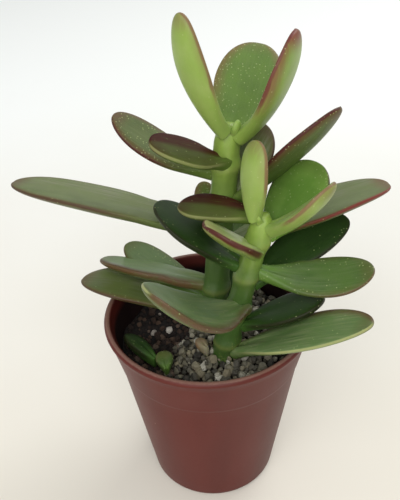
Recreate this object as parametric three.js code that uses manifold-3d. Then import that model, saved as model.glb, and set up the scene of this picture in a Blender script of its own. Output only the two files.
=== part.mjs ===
// A small jade plant in a round plastic nursery pot, with potting soil and a dressing of coarse grit.
// Millimetres, +Z up. The origin is the middle of the pot's underside; +X is the plant's right, -Y its front.
import * as THREE from "three";
import { mergeVertices } from "three/addons/utils/BufferGeometryUtils.js";
import Module from "manifold-3d";

const wasm = await Module();
wasm.setup();

// Clearance kept between one piece and the next.
const GAP = 0.3;
const DEGREE = Math.PI / 180;

// Pot
const POT_HEIGHT = 54;
const RIM_RADIUS = 27.5;
const BASE_RADIUS = 17.9;
const BASE_THICKNESS = 1.4;
const WALL = 1.1;
const COLLAR_HEIGHT = 12.6;
const COLLAR_STEP = 0.6;
const COLLAR_RADIUS = 24.2;
const LIP_RADIUS = 0.9;
const DRAIN_RADIUS = 2.2;
const DRAIN_CIRCLE = 11;
const DRAIN_COUNT = 4;
const POT_SIDES = 56;

// Soil and grit
const SOIL_LEVEL = 45.6;
const HOLLOW = { x: -13, y: 5, radius: 11, depth: 3.6 };
const GRIT = { x: 4, y: -4, depth: 1.9, roughness: 0.55 };
const SOIL_SIDES = 40;

// Stems: points up the middle, and the radius at each
const STEM_SIDES = 12;
const STEM_RINGS = 16;
const MAIN_STEM = {
  middle: [[0.4, 3.2, 37], [1.2, 3, 46], [2.6, 2.6, 62], [4.2, 2.6, 80], [6, 3, 101], [6.4, 3, 105]],
  radius: [3.3, 3.3, 3.2, 3.0, 2.5, 1.0],
  joints: [50, 60, 73, 86, 95],
};
const SIDE_STEM = {
  middle: [
    [1.4, -9.2, 37],
    [3.2, -9.6, 46],
    [5.5, -9.8, 56],
    [8.8, -9.6, 69],
    [12.4, -9.4, 84.5],
    [13.2, -9.4, 88.5],
  ],
  radius: [3.1, 3.1, 2.9, 2.7, 2.2, 0.9],
  joints: [52, 63, 72, 81],
};

// Leaves
const LEAF_THICKNESS = 3.6;
const LEAF_RINGS = 9;
const LEAF_SIDES = 10;
const LEAF_BLUNTNESS = 0.85;
const STALK_WIDTH = 0.28;
const WIDEST_AT = 0.6;
const LEAF_CUP = 0.1;

// Each leaf: the height where it leaves the stem, the way it points (azimuth), its slope at the stem (rise),
// how far it bends along its length (curl), how far the blade is turned on its midrib (roll), length and width;
// last, if it springs from another side of the stem than the one it points to, that side's direction.
const MAIN_LEAVES = [
  leaf("leaf_main_top_left", 104, 218, 49, 38, 2, 31.2, 9.3, 260),
  leaf("leaf_main_top_right", 102.1, 339, 39, 49, -5, 28.7, 15.9),
  leaf("leaf_main_top_back", 99, 69, 31, 0, 12, 30.4, 16.3),
  leaf("leaf_main_top_front", 96.5, 203, 24, 3, -15, 21, 10.6, 290),
  leaf("leaf_main_upper_left", 92.7, 163, 11, 33, -16, 28.2, 9.9),
  leaf("leaf_main_upper_right", 85.7, 346, 40, 12, -24, 34.5, 16.2),
  leaf("leaf_main_upper_back", 86.1, 34, 56, 2, 3, 19, 15),
  leaf("leaf_main_long_left", 76.9, 167, 13, -4, 16, 52.4, 21.3),
  leaf("leaf_main_long_right", 72.1, 9, 22, -12, -15, 43.4, 21.9),
  leaf("leaf_main_small_back", 72.5, 106, 46, 5, 0, 16, 7),
  leaf("leaf_main_low_left", 60.5, 158, -2, 8, 26, 31.5, 16.3),
  leaf("leaf_main_low_back", 54.2, 138, 3, 17, 4, 31, 12, 148),
  leaf("leaf_main_base_left", 49.7, 169, 30, -30, 6, 35.6, 15.4),
  leaf("leaf_main_hidden_back", 66, 78, 24, 4, 0, 27, 15),
  leaf("leaf_main_hidden_low", 54, 55, 20, 6, 0, 24, 14),
];
const SIDE_LEAVES = [
  leaf("leaf_side_top_left", 87.1, 165, 6, -6, 2, 18.6, 11.5, 120),
  leaf("leaf_side_top_back", 88.3, 229, 75, 31, -21, 18.9, 9.1, 212),
  leaf("leaf_side_top_right", 81.8, 28, 39, 11, 2, 20.9, 16.5),
  leaf("leaf_side_right", 85.4, 323, 32, 29, -1, 21.3, 11.5),
  leaf("leaf_side_front_left", 79.3, 200, 38, 0, 7, 16.5, 13, 300),
  leaf("leaf_side_left", 74.2, 155, 26, 9, 9, 25.2, 14.4),
  leaf("leaf_side_mid_right", 73.5, -10, -18, 45, 13, 27.6, 12),
  leaf("leaf_side_back_right", 68.2, 27, 28, -17, 11, 30, 12),
  leaf("leaf_side_low_front", 63.9, 226, 16, 40, -10, 38, 17.6, 317),
  leaf("leaf_side_base_right", 57.2, 343, 31, -2, -2, 23.2, 12.2, 351),
  leaf("leaf_side_far_right", 49.1, 326, 39, -9, 10, 42.4, 12.1, 320),
];
const LOOSE_LEAVES = [
  leaf("leaf_loose_left", 48.9, 128, 6, -8, 22, 13, 5.4),
  leaf("leaf_loose_front", 48.6, 100, 16, -10, 0, 6, 4.5),
  leaf("leaf_scrap", 49.2, 120, 4, 0, 0, 5, 3),
];
const LOOSE_PLACES = {
  leaf_loose_left: [-13.8, -13.2],
  leaf_loose_front: [-11, -16.5],
  leaf_scrap: [-0.6, -10.6],
};

const plastic = new THREE.MeshStandardMaterial({ color: 0x653830, roughness: 0.45, metalness: 0 });
const earth = new THREE.MeshStandardMaterial({ color: 0x2a1a12, roughness: 0.95, metalness: 0 });
const gravel = new THREE.MeshStandardMaterial({ color: 0xb9b0a4, roughness: 0.9, metalness: 0 });
const bark = new THREE.MeshStandardMaterial({ color: 0x6c8246, roughness: 0.6, metalness: 0 });
const blade = new THREE.MeshStandardMaterial({ color: 0x5d7a3c, roughness: 0.4, metalness: 0 });

// A leaf's measurements, with its angles in degrees.
function leaf(name, height, azimuth, rise, curl, roll, length, width, foot = azimuth) {
  return { name, height, azimuth, rise, curl, roll, length, width, foot };
}

// A closed skin over a run of rings with the same number of points, each end drawn to a point.
function skin(start, rings, end) {
  const sides = rings[0].length;
  const points = [start, ...rings.flat(), end];
  const last = points.length - 1;
  const faces = [];
  for (let side = 0; side < sides; side += 1) {
    const next = (side + 1) % sides;
    faces.push(0, 1 + next, 1 + side);
    faces.push(last, last - sides + side, last - sides + next);
    for (let ring = 0; ring + 1 < rings.length; ring += 1) {
      const low = 1 + ring * sides;
      const high = low + sides;
      faces.push(low + side, low + next, high + next);
      faces.push(low + side, high + next, high + side);
    }
  }
  const geometry = new THREE.BufferGeometry().setFromPoints(points);
  geometry.setIndex(faces);
  return geometry;
}

// A closed geometry as a solid that can be cut and joined.
function solidFrom(geometry) {
  const bare = geometry.clone();
  bare.deleteAttribute("normal");
  bare.deleteAttribute("uv");
  const merged = mergeVertices(bare, 1e-4);
  const vertProperties = merged.getAttribute("position").array;
  const triVerts = new Uint32Array(merged.index.array);
  return new wasm.Manifold(new wasm.Mesh({ numProp: 3, vertProperties, triVerts }));
}

function geometryFrom(solid) {
  const mesh = solid.getMesh();
  const geometry = new THREE.BufferGeometry();
  geometry.setAttribute("position", new THREE.BufferAttribute(new Float32Array(mesh.vertProperties), 3));
  geometry.setIndex(new THREE.BufferAttribute(new Uint32Array(mesh.triVerts), 1));
  geometry.computeVertexNormals();
  return geometry;
}

function piece(name, solid, material) {
  const mesh = new THREE.Mesh(geometryFrom(solid), material);
  mesh.name = name;
  return mesh;
}

// The pot's inside radius at a height.
function innerRadius(height) {
  const collarBottom = POT_HEIGHT - COLLAR_HEIGHT;
  const slope = (COLLAR_RADIUS - BASE_RADIUS) / collarBottom;
  if (height < collarBottom) {
    return BASE_RADIUS + slope * height - WALL;
  }
  const up = (height - collarBottom) / COLLAR_HEIGHT;
  return COLLAR_RADIUS - WALL + up * (RIM_RADIUS - LIP_RADIUS - COLLAR_RADIUS);
}

function potSolid() {
  const collarBottom = POT_HEIGHT - COLLAR_HEIGHT;
  const lipMiddle = new THREE.Vector2(RIM_RADIUS - LIP_RADIUS, POT_HEIGHT - LIP_RADIUS);
  const outline = [
    new THREE.Vector2(0, 0),
    new THREE.Vector2(BASE_RADIUS - 1.2, 0),
    new THREE.Vector2(BASE_RADIUS - 0.3, 0.4),
    new THREE.Vector2(BASE_RADIUS + 0.1, 1.4),
    new THREE.Vector2(COLLAR_RADIUS, collarBottom),
    new THREE.Vector2(COLLAR_RADIUS + COLLAR_STEP, collarBottom + 0.4),
    new THREE.Vector2(RIM_RADIUS - 0.5, POT_HEIGHT - 2 * LIP_RADIUS),
  ];
  for (const angle of [0, 45, 90, 135]) {
    const turn = angle * DEGREE;
    const around = new THREE.Vector2(Math.cos(turn), Math.sin(turn)).multiplyScalar(LIP_RADIUS);
    outline.push(around.add(lipMiddle));
  }
  outline.push(new THREE.Vector2(innerRadius(POT_HEIGHT - 2), POT_HEIGHT - 2));
  outline.push(new THREE.Vector2(innerRadius(collarBottom), collarBottom));
  outline.push(new THREE.Vector2(innerRadius(BASE_THICKNESS + 1), BASE_THICKNESS + 1));
  outline.push(new THREE.Vector2(innerRadius(BASE_THICKNESS) - 1, BASE_THICKNESS));
  outline.push(new THREE.Vector2(0, BASE_THICKNESS));
  let pot = solidFrom(new THREE.LatheGeometry(outline, POT_SIDES).rotateX(Math.PI / 2));
  for (let hole = 0; hole < DRAIN_COUNT; hole += 1) {
    const turn = ((hole + 0.5) * 2 * Math.PI) / DRAIN_COUNT;
    const drill = new THREE.CylinderGeometry(DRAIN_RADIUS, DRAIN_RADIUS, 4 * BASE_THICKNESS, 16);
    drill.rotateX(Math.PI / 2);
    drill.translate(DRAIN_CIRCLE * Math.cos(turn), DRAIN_CIRCLE * Math.sin(turn), 0);
    pot = pot.subtract(solidFrom(drill));
  }
  return pot;
}

// The soil's surface: nearly level, with a hollow where it has been dug away.
function soilHeight(x, y) {
  const away = Math.hypot(x - HOLLOW.x, y - HOLLOW.y) / HOLLOW.radius;
  const dug = HOLLOW.depth * Math.exp(-away * away);
  return SOIL_LEVEL - dug + 0.35 * Math.sin(0.9 * x) * Math.cos(0.7 * y + 0.4);
}

// How far the grit reaches from its middle in each direction: to the pot wall, but short of the hollow.
function gritReach(angle) {
  const x = Math.cos(angle);
  const y = Math.sin(angle);
  const wall = innerRadius(SOIL_LEVEL) - 2 * GAP;
  const across = GRIT.x * x + GRIT.y * y;
  const toWall = -across + Math.sqrt(across * across + wall * wall - GRIT.x ** 2 - GRIT.y ** 2);
  const towardsHollow = Math.max(0, Math.cos(angle - 155 * DEGREE));
  return toWall * (1 - 0.62 * towardsHollow ** 2);
}

function gritHeight(x, y, outward) {
  const heap = GRIT.depth * Math.sqrt(Math.max(0, 1 - outward ** 4)) + 0.7;
  const lumps = GRIT.roughness * Math.sin(1.9 * x + 0.6 * y) * Math.sin(1.7 * y - 0.5 * x);
  return soilHeight(x, y) + heap + lumps;
}

function ringAt(sides, place) {
  return Array.from({ length: sides }, (_, side) => place((side * 2 * Math.PI) / sides));
}

function soilSolid() {
  const rings = [];
  for (const height of [BASE_THICKNESS + 1.2, 20, POT_HEIGHT - COLLAR_HEIGHT]) {
    const radius = innerRadius(height) - GAP;
    const round = (turn) => new THREE.Vector3(radius * Math.cos(turn), radius * Math.sin(turn), height);
    rings.push(ringAt(SOIL_SIDES, round));
  }
  const edge = innerRadius(POT_HEIGHT - COLLAR_HEIGHT) - GAP;
  for (let ring = 8; ring > 0; ring -= 1) {
    rings.push(
      ringAt(SOIL_SIDES, (turn) => {
        const x = ((edge * ring) / 8) * Math.cos(turn);
        const y = ((edge * ring) / 8) * Math.sin(turn);
        return new THREE.Vector3(x, y, soilHeight(x, y));
      }),
    );
  }
  const floor = new THREE.Vector3(0, 0, BASE_THICKNESS + 1.2);
  return solidFrom(skin(floor, rings, new THREE.Vector3(0, 0, soilHeight(0, 0))));
}

function gritSolid() {
  const steps = 9;
  const place = (turn, outward, height) => {
    const reach = gritReach(turn) * outward;
    const x = GRIT.x + reach * Math.cos(turn);
    const y = GRIT.y + reach * Math.sin(turn);
    return new THREE.Vector3(x, y, height(x, y, outward));
  };
  const under = (x, y) => soilHeight(x, y) + 1.5 * GAP;
  const rings = [];
  for (let step = 1; step <= steps; step += 1) {
    rings.push(ringAt(SOIL_SIDES, (turn) => place(turn, step / steps, under)));
  }
  for (let step = steps; step > 0; step -= 1) {
    rings.push(ringAt(SOIL_SIDES, (turn) => place(turn, step / steps, gritHeight)));
  }
  return solidFrom(skin(place(0, 0, under), rings, place(0, 0, gritHeight)));
}

// The middle of a stem, its radius, and the height along it.
function stemCurve(stem) {
  return new THREE.CatmullRomCurve3(stem.middle.map((point) => new THREE.Vector3(...point)));
}

function stemPointAt(stem, height) {
  const curve = stemCurve(stem);
  let low = 0;
  let high = 1;
  for (let step = 0; step < 24; step += 1) {
    const half = (low + high) / 2;
    if (curve.getPoint(half).z < height) {
      low = half;
    } else {
      high = half;
    }
  }
  return curve.getPoint(low);
}

function stemSolid(stem, grow = 0) {
  const curve = stemCurve(stem);
  const spans = stem.radius.length - 1;
  const rings = [];
  for (let ring = 0; ring <= STEM_RINGS; ring += 1) {
    const along = ring / STEM_RINGS;
    const middle = curve.getPoint(along);
    const span = Math.min(spans - 1, Math.floor(along * spans));
    const radius = THREE.MathUtils.lerp(stem.radius[span], stem.radius[span + 1], along * spans - span);
    const swelling = Math.max(...stem.joints.map((joint) => Math.exp(-(((middle.z - joint) / 2) ** 2))));
    const reach = radius + 0.6 * swelling + grow;
    const round = (turn) => new THREE.Vector3(reach * Math.cos(turn), reach * Math.sin(turn), 0).add(middle);
    rings.push(ringAt(STEM_SIDES, round));
  }
  const bottom = curve.getPoint(0).add(new THREE.Vector3(0, 0, -grow));
  const tip = curve.getPoint(1).add(new THREE.Vector3(0, 0, 0.6 + grow));
  return solidFrom(skin(bottom, rings, tip));
}

// The blade's half width at a fraction of its length, as a share of its greatest.
function bladeOutline(along) {
  if (along < WIDEST_AT) {
    return STALK_WIDTH + (1 - STALK_WIDTH) * Math.sin((Math.PI * along) / (2 * WIDEST_AT)) ** 1.4;
  }
  return Math.sqrt(Math.max(0, 1 - ((along - WIDEST_AT) / (1 - WIDEST_AT)) ** 2)) ** 0.95;
}

// Squares up a circle a little, for a leaf's blunt edge.
function blunt(share) {
  return Math.sign(share) * Math.abs(share) ** LEAF_BLUNTNESS;
}

// A succulent leaf: nearly flat above, rounded below, with blunt edges, its midrib starting at base.
function leafSolid(shape, base, grow = 0) {
  const midrib = [new THREE.Vector2(0, 0)];
  const steps = 60;
  for (let step = 0; step < steps; step += 1) {
    const slope = (shape.rise + (shape.curl * (step + 0.5)) / steps) * DEGREE;
    const move = new THREE.Vector2(Math.cos(slope), Math.sin(slope)).multiplyScalar(shape.length / steps);
    midrib.push(midrib[step].clone().add(move));
  }
  const rings = [];
  const centres = [];
  for (let ring = 0; ring < LEAF_RINGS; ring += 1) {
    const along = 0.5 - 0.5 * Math.cos((Math.PI * (ring + 0.35)) / (LEAF_RINGS - 0.3));
    const slope = (shape.rise + shape.curl * along) * DEGREE;
    const turn = shape.roll * DEGREE * Math.min(1, along / 0.35);
    const point = midrib[Math.round(along * steps)];
    const across = new THREE.Vector3(0, 1, 0);
    const upward = new THREE.Vector3(-Math.sin(slope), 0, Math.cos(slope));
    const side = across.clone().multiplyScalar(Math.cos(turn)).addScaledVector(upward, Math.sin(turn));
    const above = upward.multiplyScalar(Math.cos(turn)).addScaledVector(across, -Math.sin(turn));
    const halfWidth = (shape.width / 2) * bladeOutline(along) + grow;
    const thinning = along > WIDEST_AT ? bladeOutline(along) ** 0.6 : 1;
    const thickness = LEAF_THICKNESS * (1 - 0.3 * along) * thinning;
    centres.push(new THREE.Vector3(point.x, 0, point.y));
    rings.push(
      ringAt(LEAF_SIDES, (round) => {
        const out = blunt(Math.cos(round));
        const up = blunt(Math.sin(round));
        const rise = (up > 0 ? 0.35 : 0.65) * thickness * up + grow * up + LEAF_CUP * halfWidth * out * out;
        return centres[ring].clone().addScaledVector(side, halfWidth * out).addScaledVector(above, rise);
      }),
    );
  }
  const tip = midrib[steps];
  const end = new THREE.Vector3(tip.x, 0, tip.y).lerp(centres[LEAF_RINGS - 1], grow > 0 ? -0.3 : 0);
  const geometry = skin(new THREE.Vector3(0, 0, 0), rings, end);
  geometry.rotateZ(shape.azimuth * DEGREE);
  geometry.translate(base.x, base.y, base.z);
  return solidFrom(geometry);
}

// Where a leaf starts: a little way out from the middle of its stem.
function leafBase(stem, shape) {
  const middle = stemPointAt(stem, shape.height);
  const turn = shape.foot * DEGREE;
  return middle.add(new THREE.Vector3(2 * Math.cos(turn), 2 * Math.sin(turn), 0));
}

// The largest single body left of a solid after cuts.
function largest(solid) {
  return solid.decompose().reduce((most, part) => (part.volume() > most.volume() ? part : most));
}

const stems = [
  { name: "main_stem", shape: MAIN_STEM, leaves: MAIN_LEAVES },
  { name: "side_stem", shape: SIDE_STEM, leaves: SIDE_LEAVES },
];
const plant = new THREE.Group();
const potted = new THREE.Group();

// Slightly larger copies of the pieces already placed, which cut clearance into what comes after.
const placed = [];
for (const stem of stems) {
  plant.add(piece(stem.name, stemSolid(stem.shape), bark));
  placed.push(stemSolid(stem.shape, GAP));
}

function addLeaf(shape, base) {
  let solid = leafSolid(shape, base);
  for (const cutter of placed) {
    solid = solid.subtract(cutter);
  }
  plant.add(piece(shape.name, largest(solid), blade));
  placed.push(leafSolid(shape, base, GAP));
}

for (const stem of stems) {
  for (const shape of stem.leaves) {
    addLeaf(shape, leafBase(stem.shape, shape));
  }
}
for (const shape of LOOSE_LEAVES) {
  const [x, y] = LOOSE_PLACES[shape.name];
  addLeaf(shape, new THREE.Vector3(x, y, shape.height));
}

let soil = soilSolid();
let grit = gritSolid();
for (const cutter of placed) {
  soil = soil.subtract(cutter);
  grit = grit.subtract(cutter);
}
potted.add(piece("pot", potSolid(), plastic));
potted.add(piece("soil", largest(soil), earth));
potted.add(piece("grit_layer", largest(grit), gravel));

const group = new THREE.Group();
group.add(potted, plant);

export default group;
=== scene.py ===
import logging
import math
from dataclasses import dataclass, field, replace
from enum import Enum
from typing import Any, Callable, Sequence

import bmesh
import bpy
import numpy as np
from mathutils import Matrix, Vector


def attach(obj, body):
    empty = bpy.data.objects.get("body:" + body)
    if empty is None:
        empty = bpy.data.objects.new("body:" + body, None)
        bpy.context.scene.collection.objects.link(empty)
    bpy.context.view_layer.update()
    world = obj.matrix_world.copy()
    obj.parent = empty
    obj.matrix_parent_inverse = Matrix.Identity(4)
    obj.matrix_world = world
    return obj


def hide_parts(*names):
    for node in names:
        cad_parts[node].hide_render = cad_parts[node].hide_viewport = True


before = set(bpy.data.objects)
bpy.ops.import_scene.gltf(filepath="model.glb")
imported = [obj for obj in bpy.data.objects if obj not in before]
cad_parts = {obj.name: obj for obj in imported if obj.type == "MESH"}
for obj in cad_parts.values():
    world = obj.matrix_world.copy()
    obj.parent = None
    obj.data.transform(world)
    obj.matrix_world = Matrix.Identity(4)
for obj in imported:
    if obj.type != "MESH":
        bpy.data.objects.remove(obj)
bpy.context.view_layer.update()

log = logging.getLogger("jade_plant")

MM = 0.001
WELD = 0.004 * MM
SLIVER = 0.001 * MM
BODY = "root"
Colour = tuple[float, float, float, float]


def paint(red: int, green: int, blue: int) -> Colour:
    """Turns a colour picked on a 0 to 255 chart into the linear values that shaders use.

    Args:
        red: Red, 0 to 255.
        green: Green, 0 to 255.
        blue: Blue, 0 to 255.

    Returns:
        Linear red, green, blue and an alpha of 1.
    """
    def linear(level: int) -> float:
        """One channel, made linear."""
        share = level / 255
        return share / 12.92 if share <= 0.04045 else ((share + 0.055) / 1.055) ** 2.4

    return (linear(red), linear(green), linear(blue), 1.0)


# --------------------------------------------------------------------------------------------------
# Node work


class Bench:
    """Adds nodes to one tree, for a material or for geometry."""

    def __init__(self, tree: bpy.types.NodeTree) -> None:
        """Starts work on a tree."""
        self.tree = tree

    def node(self, kind: str, settings: dict[str, Any] | None = None, **inputs: Any) -> bpy.types.Node:
        """Adds a node, its settings first and then its sockets.

        Args:
            kind: The node's type.
            settings: Its properties; "stops" sets a colour ramp's stops.
            inputs: Values or signals by socket name, with _ for a space, or in_N for the socket numbered N.

        Returns:
            The new node.
        """
        made = self.tree.nodes.new(kind)
        for name, value in (settings or {}).items():
            if name == "stops":
                self._set_stops(made.color_ramp, value)
            else:
                setattr(made, name, value)
        for name, value in inputs.items():
            key = int(name[3:]) if name.startswith("in_") else name.replace("_", " ")
            self.feed(made.inputs[key], value)
        return made

    @staticmethod
    def _set_stops(ramp: bpy.types.ColorRamp, stops: Sequence[tuple[float, Colour]]) -> None:
        """Gives a colour ramp its stops."""
        while len(ramp.elements) < len(stops):
            ramp.elements.new(1.0)
        for element, (place, colour) in zip(ramp.elements, stops):
            element.position = place
            element.color = colour

    def feed(self, socket: bpy.types.NodeSocket, value: Any) -> None:
        """Links a signal to a socket, or sets the socket's own value."""
        if isinstance(value, Signal):
            self.tree.links.new(value.socket, socket)
        elif isinstance(value, bpy.types.NodeSocket):
            self.tree.links.new(value, socket)
        else:
            socket.default_value = value

    def signal(self, kind: str, settings: dict[str, Any] | None = None, out: int | str = 0,
               **inputs: Any) -> "Signal":
        """Adds a node and wraps one of its outputs.

        Args:
            kind: The node's type.
            settings: Its properties.
            out: Which output, by number or name.
            inputs: Values or signals for its sockets.

        Returns:
            The output as a signal.
        """
        return Signal(self, self.node(kind, settings, **inputs).outputs[out])

    def mix(self, share: Any, first: Any, second: Any) -> "Signal":
        """Mixes two colours.

        Args:
            share: How much of the second shows.
            first: The colour underneath.
            second: The colour on top.

        Returns:
            The mixed colour.
        """
        settings = {"data_type": "RGBA", "clamp_factor": True}
        return self.signal("ShaderNodeMix", settings, out=2, in_0=share, in_6=first, in_7=second)

    def stored(self, name: str) -> "Signal":
        """A number stored on a mesh."""
        return self.signal("ShaderNodeAttribute", {"attribute_name": name}, out="Fac")

    def place(self) -> "Signal":
        """The place on the piece."""
        return self.signal("ShaderNodeTexCoord", None, out="Object")

    def mix_vector(self, share: float, first: Any, second: Any) -> "Signal":
        """A vector part of the way from one to another."""
        settings = {"data_type": "VECTOR"}
        return self.signal("ShaderNodeMix", settings, out=1, in_0=share, in_4=first, in_5=second)

    def vector(self, x: Any, y: Any, z: Any) -> "Signal":
        """Three numbers as a vector."""
        return self.signal("ShaderNodeCombineXYZ", None, X=x, Y=y, Z=z)

    def vector_sum(self, operation: str, **inputs: Any) -> "Signal":
        """One step of vector maths."""
        return self.signal("ShaderNodeVectorMath", {"operation": operation}, **inputs)

    def axis(self, vector: Any, number: int) -> "Signal":
        """One of a vector's three numbers."""
        return self.signal("ShaderNodeSeparateXYZ", None, out=number, Vector=vector)

    def noise(self, scale: float, detail: float = 3.0, place: Any = None, roughness: float = 0.5) -> "Signal":
        """Soft noise.

        Args:
            scale: Waves to the metre.
            detail: How many finer layers.
            place: Where it is read.
            roughness: How strong the finer layers are.

        Returns:
            The noise, 0 to 1.
        """
        inputs = {"Scale": scale, "Detail": detail, "Roughness": roughness}
        if place is not None:
            inputs["Vector"] = place
        return self.signal("ShaderNodeTexNoise", None, out=0, **inputs)

    def specks(self, scale: float, place: "Signal", size: tuple[float, float], over: Any,
               jitter: float = 1.0) -> "Signal":
        """Round dots in some cells of a pattern.

        Args:
            scale: Cells to the metre.
            place: Where the pattern is read.
            size: How far from its middle a dot ends, and how far it is whole.
            over: A cell has a dot where its own number, 0 to 1, is more than this.
            jitter: How far the cells stray from an even grid.

        Returns:
            1 in a dot and 0 between the dots.
        """
        cells = self.node("ShaderNodeTexVoronoi", None, Vector=place, Scale=scale, Randomness=jitter)
        own = self.signal("ShaderNodeSeparateColor", None, in_0=cells.outputs["Color"])
        return Signal(self, cells.outputs["Distance"]).ease(*size) * (own > over)


class Signal:
    """A socket that can be used in sums, as a number is."""

    def __init__(self, bench: Bench, socket: bpy.types.NodeSocket) -> None:
        """Wraps an output socket."""
        self.bench = bench
        self.socket = socket

    def _sum(self, operation: str, *values: Any) -> "Signal":
        """Adds a Math node over these values."""
        inputs = {f"in_{number}": value for number, value in enumerate(values)}
        return self.bench.signal("ShaderNodeMath", {"operation": operation}, **inputs)

    def __add__(self, other: Any) -> "Signal":
        """Self plus other."""
        return self._sum("ADD", self, other)

    __radd__ = __add__

    def __sub__(self, other: Any) -> "Signal":
        """Self minus other."""
        return self._sum("SUBTRACT", self, other)

    def __rsub__(self, other: Any) -> "Signal":
        """Other minus self."""
        return self._sum("SUBTRACT", other, self)

    def __mul__(self, other: Any) -> "Signal":
        """Self times other."""
        return self._sum("MULTIPLY", self, other)

    __rmul__ = __mul__

    def __truediv__(self, other: Any) -> "Signal":
        """Self over other."""
        return self._sum("DIVIDE", self, other)

    def __rtruediv__(self, other: Any) -> "Signal":
        """Other over self."""
        return self._sum("DIVIDE", other, self)

    def __pow__(self, other: Any) -> "Signal":
        """Self to a power."""
        return self._sum("POWER", self, other)

    def __neg__(self) -> "Signal":
        """Minus self."""
        return self._sum("MULTIPLY", self, -1.0)

    def __lt__(self, other: Any) -> "Signal":
        """1 where self is less than other, else 0."""
        return self._sum("LESS_THAN", self, other)

    def __gt__(self, other: Any) -> "Signal":
        """1 where self is more than other, else 0."""
        return self._sum("GREATER_THAN", self, other)

    def sine(self) -> "Signal":
        """The sine of an angle."""
        return self._sum("SINE", self)

    def root(self) -> "Signal":
        """The square root."""
        return self._sum("SQRT", self)

    def cosine(self) -> "Signal":
        """The cosine of an angle."""
        return self._sum("COSINE", self)

    def size(self) -> "Signal":
        """Without its sign."""
        return self._sum("ABSOLUTE", self)

    def sign(self) -> "Signal":
        """Minus 1, 0 or 1."""
        return self._sum("SIGN", self)

    def least(self, other: Any) -> "Signal":
        """The lesser of the two."""
        return self._sum("MINIMUM", self, other)

    def most(self, other: Any) -> "Signal":
        """The greater of the two."""
        return self._sum("MAXIMUM", self, other)

    def ease(self, low: float, high: float) -> "Signal":
        """Rises smoothly from 0 at low to 1 at high, or falls if low is above high.

        Args:
            low: Where it is 0.
            high: Where it is 1.

        Returns:
            A number from 0 to 1.
        """
        settings = {"interpolation_type": "SMOOTHSTEP"}
        if low < high:
            return self.bench.signal("ShaderNodeMapRange", settings, in_0=self, in_1=low, in_2=high)
        return 1 - self.bench.signal("ShaderNodeMapRange", settings, in_0=self, in_1=high, in_2=low)


# --------------------------------------------------------------------------------------------------
# Finishes


class Finish:
    """What every finish shares: a material of its own with one main shader."""

    name: str

    def material(self) -> bpy.types.Material:
        """The finish's material, made the first time it is asked for."""
        made = bpy.data.materials.get(self.name)
        if made is None:
            made = bpy.data.materials.new(self.name)
            made.use_nodes = True
            shader = made.node_tree.nodes["Principled BSDF"]
            self.dress(Bench(made.node_tree), shader)
        return made

    def dress(self, bench: Bench, shader: bpy.types.Node) -> None:
        """Builds the finish's nodes."""
        raise NotImplementedError

    @staticmethod
    def coat(bench: Bench, shader: bpy.types.Node, colour: Signal, roughness: Any, relief: Signal,
             depth: float, strength: float, shine: float = 0.5) -> None:
        """Gives the main shader its colour, roughness and relief.

        Args:
            bench: The bench of the material's tree.
            shader: The main shader.
            colour: Its colour.
            roughness: Its roughness.
            relief: The height of its small bumps, about 0 to 1.
            depth: How high a bump of 1 stands, in metres.
            strength: How strongly the bumps turn the light.
            shine: How strongly it reflects.
        """
        bump = bench.node("ShaderNodeBump", None, Strength=strength, Distance=depth, Height=relief)
        bench.feed(shader.inputs["Base Color"], colour)
        bench.feed(shader.inputs["Roughness"], roughness)
        bench.feed(shader.inputs["Normal"], bump.outputs["Normal"])
        shader.inputs["Specular IOR Level"].default_value = shine

    @staticmethod
    def glow_through(shader: bpy.types.Node, weight: float, depth: float) -> None:
        """Lets some light into green flesh, down to a depth."""
        shader.inputs["Subsurface Weight"].default_value = weight
        shader.inputs["Subsurface Radius"].default_value = (0.5, 1.0, 0.2)
        shader.inputs["Subsurface Scale"].default_value = depth


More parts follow.
